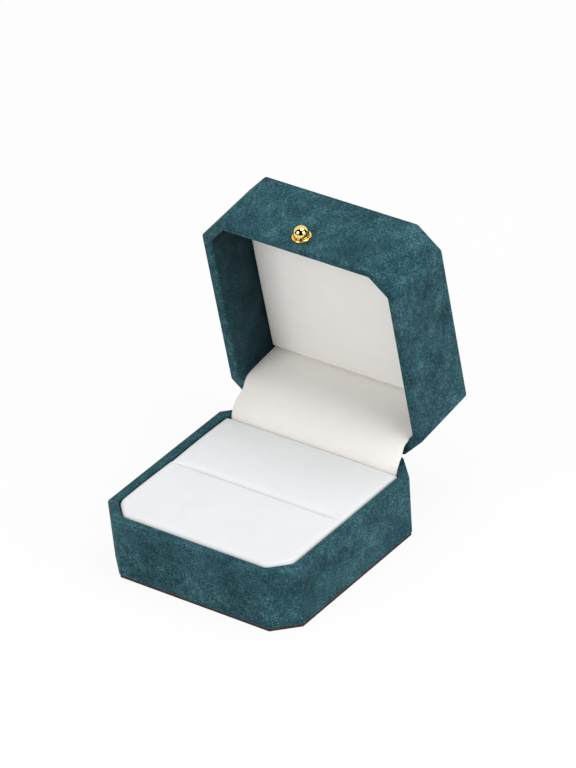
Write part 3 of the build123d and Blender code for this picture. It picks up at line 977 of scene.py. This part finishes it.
@dataclass
class HingeCover:
    """Velvet-covered card that curves from the lid panel down behind the cushion."""

    finishes: Finishes
    hinge: Hinge
    seat: float = 8.5 * MM         # from the lid's rear face to the cover's face
    bend: float = 18.6 * MM        # radius of the bend
    tangent: float = 6.8 * MM      # from the lid's rim to where the bend ends
    tail: float = 5.5 * MM         # depth of the foot below the base's rim
    gap: float = 0.3 * MM          # between cushion and foot
    thickness: float = 1.1 * MM
    rim: float = 0.1 * MM          # from either rim to the hinge axis
    clear: float = 0.1 * MM        # least room beside the cover in the lid
    foot_half: float = 30.3 * MM   # half widths of the cover: foot, bend and seat in the lid
    bow_half: float = 30.4 * MM
    seat_half: float = 31.1 * MM
    inner_half: float = 31.9 * MM  # half width inside the lid, and where its rear corners begin
    inner_cut: float = 8.784 * MM
    base_ease: Limits = (1.6 * MM, 3.2 * MM)   # narrows to foot_half: start above the rim, length
    seat_ease: Limits = (4.5 * MM, 5.0 * MM)   # widens to seat_half: start below the lid's rim, length
    foot_steps: int = 5
    bend_steps: int = 22
    top_steps: int = 8
    soft_rounds: int = 3
    fold_start: Limits = (4.0 * MM, 1.2 * MM)  # ahead of the foot and above the rim
    fold_run: Limits = (6.75, 10.9)            # back and up from there, in mm

    def on_lid(self, u: float, v: float) -> Vector:
        """Point on the open lid, u in front of its rear face and v above its rim."""
        axis = self.hinge.axis
        return self.hinge.opened @ Vector((0, axis.y - u, axis.z + self.rim + v))

    def path(self) -> list[Vector]:
        """Run of the cover's face.

        Returns:
            Points along it, from its foot to its top.
        """
        turn = self.hinge.travel
        seat = self.on_lid(self.seat, self.tangent)
        centre = seat + Vector((0, math.cos(turn), -math.sin(turn))) * self.bend
        foot_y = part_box("cushion_velvet")[1].y + self.gap
        rim_z = self.hinge.axis.z - self.rim
        first = math.acos((foot_y - centre.y) / self.bend)
        last = math.atan2(math.sin(turn), -math.cos(turn))
        crease_z = centre.z + self.bend * math.sin(first)
        foot_z = rim_z - self.tail
        upright = [Vector((0, foot_y, foot_z + (crease_z - foot_z) * k / self.foot_steps))
                   for k in range(self.foot_steps)]
        turns = [first + (last - first) * k / self.bend_steps for k in range(self.bend_steps + 1)]
        arc = [centre + self.bend * Vector((0, math.cos(a), math.sin(a))) for a in turns]
        ceiling = self.hinge.shut_box("panel_foam")[1].z - self.hinge.axis.z - self.rim
        flat = [self.on_lid(self.seat, self.tangent + (ceiling - self.tangent) * k / self.top_steps)
                for k in range(1, self.top_steps + 1)]
        return self.soften(upright + arc + flat)

    def soften(self, path: list[Vector]) -> list[Vector]:
        """Ease the crease between the tail and the bend, with both ends kept.

        Args:
            path: Points along the cover.

        Returns:
            As many points, evened out.
        """
        for _ in range(self.soft_rounds):
            inner = [(a + b * 2 + c) / 4 for a, b, c in zip(path, path[1:], path[2:])]
            path = [path[0], *inner, path[-1]]
        return path

    def half_width(self, point: Vector) -> float:
        """Half width of the cover where its path passes a point, clear of the lid's rear corners.

        Args:
            point: Point on the path.

        Returns:
            Distance from the middle to the cover's edge.
        """
        rim_z = self.hinge.axis.z - self.rim
        above, fade = self.base_ease
        in_base = smooth_step((rim_z + above - point.z) / fade)
        wide = self.bow_half + (self.foot_half - self.bow_half) * in_base
        shut = self.hinge.shut @ point
        height, depth = shut.z - self.hinge.axis.z - self.rim, self.hinge.axis.y - shut.y
        walls = self.inner_half - self.clear - max(self.inner_cut - depth, 0.0)
        below, fade = self.seat_ease
        return wide + (min(walls, self.seat_half) - wide) * smooth_step((height + below) / fade)

    def build(self) -> None:
        """Build the cover as a curved strip between base and lid."""
        path = self.path()
        widths = [self.half_width(p) for p in path]
        piece = Strip(path, widths, self.thickness).build("hinge_cover", self.finishes.lining)
        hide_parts("hinge_cover_card", "hinge_cover_velvet")
        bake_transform(piece)


@dataclass
class SpringHinge:
    """Leaves, pin and rivets from the frame, and the bowed strip that snaps the lid open and shut."""

    finishes: Finishes
    hinge: Hinge
    wall: float = 3.1 * MM
    leaf: float = 0.5 * MM
    off: float = 0.1 * MM
    spring: float = 0.3 * MM
    half: float = 3.5 * MM
    hook: float = 6.5 * MM
    rise: float = 2.35 * MM
    tab: float = 0.35 * MM
    half_steps: int = 12

    def path(self) -> list[Vector]:
        """Run of the bowed strip.

        Returns:
            Points along it, from its end in the base leaf to its end in the lid leaf.
        """
        axis, lean = self.hinge.axis, self.hinge.travel / 2
        off = self.wall + self.leaf + self.off + self.spring / 2
        spread = math.atan2(self.hook, off) + lean
        distance = math.hypot(off, self.hook)
        half, low = distance * math.sin(spread), distance * math.cos(spread)
        rise = self.rise - low
        radius = (half ** 2 + rise ** 2) / (2 * rise)
        sweep = math.asin(half / radius)
        along = Vector((0, math.sin(lean), math.cos(lean)))
        out = Vector((0, -math.cos(lean), math.sin(lean)))
        crown = axis + out * (self.rise - radius)
        turns = [sweep * (k / self.half_steps - 1) for k in range(2 * self.half_steps + 1)]
        bow = [crown + radius * (math.sin(a) * along + math.cos(a) * out) for a in turns]
        tip = Vector((0, axis.y - self.wall + self.tab, axis.z - self.hook))
        mirrored = Vector((0, tip.y, 2 * axis.z - tip.z))
        return [tip, (tip + bow[0]) / 2, *bow, (self.hinge.opened @ mirrored + bow[-1]) / 2,
                self.hinge.opened @ mirrored]

    def build(self) -> None:
        """Dress the hinge's nodes and build its spring."""
        dress(self.finishes.nickel, "base_leaf", "lid_leaf", "hinge_pin", "base_leaf_rivets",
              "lid_leaf_rivets")
        path = self.path()
        piece = Strip(path, [self.half] * len(path), self.spring, edge_steps=2).build(
            "bowed_spring", self.finishes.spring)
        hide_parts("snap_spring")
        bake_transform(piece)
        log.info("bowed_spring: %d points", len(piece.data.vertices))


@dataclass
class Knob:
    """Polished brass ball seated in a collar with a rounded rim."""

    finishes: Finishes
    hinge: Hinge
    ball: float = 2.4 * MM
    rim: float = 0.38 * MM
    neck: float = 1.45 * MM
    dish: float = 0.45 * MM
    cove_out: float = 0.25 * MM
    cove_fall: float = 0.1 * MM
    cove_steps: int = 2
    ball_steps: int = 34
    bead_steps: int = 10
    dish_steps: int = 4
    segments: int = 72

    def profile(self, reach: float, collar: float) -> Profile:
        """Turned outline of ball and collar.

        Args:
            reach: Height of the ball's tip above the wall.
            collar: Radius of the collar.

        Returns:
            Pairs of (radius, height above the wall), from the tip down to the wall.
        """
        centre = reach - self.ball
        low = math.asin(self.neck / self.ball)
        turns = [(math.pi - low) * k / self.ball_steps for k in range(1, self.ball_steps + 1)]
        ball = [(self.ball * math.sin(t), centre + self.ball * math.cos(t)) for t in turns]
        cove = [(self.neck + self.cove_out * k, max(self.dish, ball[-1][1] - self.cove_fall * k))
                for k in range(1, self.cove_steps + 1)]
        inner = collar - 2 * self.rim
        bead = [(collar - self.rim - self.rim * math.cos(t), self.dish + self.rim * math.sin(t))
                for t in (math.pi * k / self.bead_steps for k in range(self.bead_steps + 1))]
        dish = [(cove[-1][0] + (inner - cove[-1][0]) * k / self.dish_steps, self.dish)
                for k in range(1, self.dish_steps)]
        return ball + cove + dish + bead + [(collar, self.dish / 2), (collar, 0.0), (self.neck, 0.0)]

    def build(self) -> None:
        """Turn the knob on its axis in the lid and dress the riveting washer."""
        low, high = self.hinge.shut_box("knob_collar")
        tip = self.hinge.shut_box("knob_stud")[0].y
        middle = (low.z + high.z) / 2
        seat = high.y
        opened, outline = self.hinge.opened, self.profile(seat - tip, high.x)
        rows = []
        for k in range(self.segments):
            turn = math.tau * k / self.segments
            rows.append([opened @ Vector((r * math.cos(turn), seat - h, middle + r * math.sin(turn)))
                         for r, h in outline])
        columns = [list(column) for column in zip(*rows)]
        caps = [[(0, i) for i in range(self.segments)],
                [(len(columns) - 1, i) for i in reversed(range(self.segments))]]
        piece = mesh_piece("turned_knob", columns, caps, True, self.finishes.brass)
        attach(piece, Body.LID.value)
        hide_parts("knob_stud", "knob_collar")
        dress(self.finishes.brass, "knob_washer")
        log.info("turned_knob: %d points", len(piece.data.vertices))


@dataclass
class Linings:
    """Board and foam layers that pads and cover stand for, so that no hidden node is left bare."""

    finishes: Finishes

    def build(self) -> None:
        """Dress the layers behind the velvet."""
        dress(self.finishes.board, "panel_card", "hinge_cover_card")
        dress(self.finishes.foam, "panel_foam", "front_foam", "rear_foam")


# --- studio -------------------------------------------------------------------


@dataclass(frozen=True)
class Lamp:
    """Square soft lamp that points at the box: place and side in metres, power in watts."""

    name: str
    place: tuple[float, float, float]
    power: float
    side: float = 0.70

    def hang(self) -> None:
        """Add the lamp."""
        data = bpy.data.lights.new(self.name, "AREA")
        data.size, data.energy = self.side, self.power
        lamp = bpy.data.objects.new(self.name, data)
        bpy.context.scene.collection.objects.link(lamp)
        place = Vector(self.place)
        lamp.location = place
        lamp.rotation_euler = (-place).to_track_quat("-Z", "Y").to_euler()


LAMPS = (
    Lamp("key_right", (1.05, -0.05, 0.62), 6.3),
    Lamp("top", (0.25, 0.14, 1.14), 5.6),
    Lamp("front_left", (-0.30, -1.05, 0.75), 6.4),
)


@dataclass
class Studio:
    """Pale floor, soft light and the camera at the photograph's angle.

    Angles are in degrees, lens and sensor in millimetres, and the rest in metres.
    """

    azimuth: float = 39.303
    elevation: float = 32.734
    camera_roll: float = -5.2
    lens: float = 281.4
    sensor: float = 36.0
    clip: Limits = (0.05, 20.0)
    aim: tuple[float, float, float] = (-0.0073, 0.0269, 0.0396)
    distance: float = 1.768
    floor_half: float = 3.0
    floor_colour: Colour = (0.85, 0.85, 0.85)
    floor_glow: float = 0.92
    world_light: float = 0.36
    flag_radius: float = 2.4
    flag_lifts: range = range(3, 90, 7)       # above the floor
    flag_turns: range = range(-105, 110, 10)  # to either side of the camera

    def build(self) -> None:
        """Set up view, floor, world, lamps and camera."""
        bpy.context.scene.view_settings.view_transform = "Standard"
        self.floor()
        self.world()
        for lamp in LAMPS:
            lamp.hang()
        self.flag()
        self.camera()

    def floor(self) -> None:
        """Pale floor that shows white to the camera and keeps the box's shadow."""
        bench = Bench("pale_floor")
        bench.set(Base_Color=self.floor_colour, Roughness=0.9, Specular_IOR_Level=0.1)
        glow = bench.node("ShaderNodeEmission", Strength=1.0)
        mix = bench.tree.nodes.new("ShaderNodeMixShader")
        bench.fill(mix.inputs[0], bench.maths("MULTIPLY", self.seen(bench.tree), self.floor_glow))
        bench.fill(mix.inputs[1], bench.shader.outputs[0])
        bench.fill(mix.inputs[2], glow.outputs[0])
        output = next(n for n in bench.tree.nodes if n.type == "OUTPUT_MATERIAL")
        bench.fill(output.inputs["Surface"], mix.outputs[0])
        h = self.floor_half
        corners = [[Vector((-h, -h, 0)), Vector((h, -h, 0))], [Vector((-h, h, 0)), Vector((h, h, 0))]]
        mesh_piece("floor", corners, [], False, bench.material)

    def flag(self) -> None:
        """Dark flag behind the camera, seen only in polished metal, as the dark side of a photo studio."""
        bench = Bench("dark_flag")
        bench.set(Base_Color=(0.004, 0.004, 0.004), Roughness=1.0, Specular_IOR_Level=0.0)
        rows = []
        turns = [math.radians(self.azimuth + a) for a in self.flag_turns]
        for lift in self.flag_lifts:
            tilt = math.radians(lift)
            row = [Vector((math.sin(t) * math.cos(tilt), -math.cos(t) * math.cos(tilt), math.sin(tilt)))
                   for t in turns]
            rows.append([point * self.flag_radius for point in row])
        piece = mesh_piece("dark_flag", rows, [], False, bench.material)
        piece.visible_camera = piece.visible_diffuse = piece.visible_shadow = False
        piece.visible_transmission = piece.visible_volume_scatter = False

    @staticmethod
    def seen(tree: bpy.types.NodeTree) -> bpy.types.NodeSocket:
        """Mask of the rays that see the white surroundings.

        Args:
            tree: Node tree to add it to.

        Returns:
            1 for camera, glossy and transmission rays, 0 for the rest.
        """
        rays = tree.nodes.new("ShaderNodeLightPath")
        most = rays.outputs["Is Camera Ray"]
        for name in ("Is Glossy Ray", "Is Transmission Ray"):
            step = tree.nodes.new("ShaderNodeMath")
            step.operation = "MAXIMUM"
            tree.links.new(most, step.inputs[0])
            tree.links.new(rays.outputs[name], step.inputs[1])
            most = step.outputs[0]
        return most

    def world(self) -> None:
        """Even white surroundings: a plain light level, and white where a ray sees them."""
        world = bpy.data.worlds.new("soft_white_room")
        bpy.context.scene.world = world
        world.use_nodes = True
        tree = world.node_tree
        background = next(n for n in tree.nodes if n.type == "BACKGROUND")
        background.inputs["Color"].default_value = (1, 1, 1, 1)
        level = tree.nodes.new("ShaderNodeMapRange")
        tree.links.new(self.seen(tree), level.inputs["Value"])
        level.inputs["To Min"].default_value = self.world_light
        level.inputs["To Max"].default_value = 1.0
        tree.links.new(level.outputs["Result"], background.inputs["Strength"])

    def camera(self) -> None:
        """Add the camera at the photograph's angle."""
        a, e, r = (math.radians(v) for v in (self.azimuth, self.elevation, self.camera_roll))
        back = Vector((math.sin(a) * math.cos(e), -math.cos(a) * math.cos(e), math.sin(e)))
        level = Vector((math.cos(a), math.sin(a), 0))
        up = back.cross(level)
        right = level * math.cos(r) + up * math.sin(r)
        top = up * math.cos(r) - level * math.sin(r)
        data = bpy.data.cameras.new("photo_camera")
        data.lens, data.sensor_width = self.lens, self.sensor
        data.clip_start, data.clip_end = self.clip
        camera = bpy.data.objects.new("photo_camera", data)
        bpy.context.scene.collection.objects.link(camera)
        place = Matrix((right, top, back)).transposed().to_4x4()
        place.translation = Vector(self.aim) + back * self.distance
        camera.matrix_world = place
        bpy.context.scene.camera = camera


def main() -> None:
    """Build and dress every sub-assembly, then set up the studio."""
    logging.basicConfig(level=logging.INFO, format="%(name)s: %(message)s")
    finishes, hinge = Finishes(), Hinge.from_frame()
    parts = [Walls(finishes), Linings(finishes), RingCushion(finishes), LidPanel(finishes, hinge),
             HingeCover(finishes, hinge), SpringHinge(finishes, hinge), Knob(finishes, hinge)]
    for part in parts:
        log.info("building %s", type(part).__name__)
        part.build()
    Studio().build()


if __name__ == "__main__":
    main()
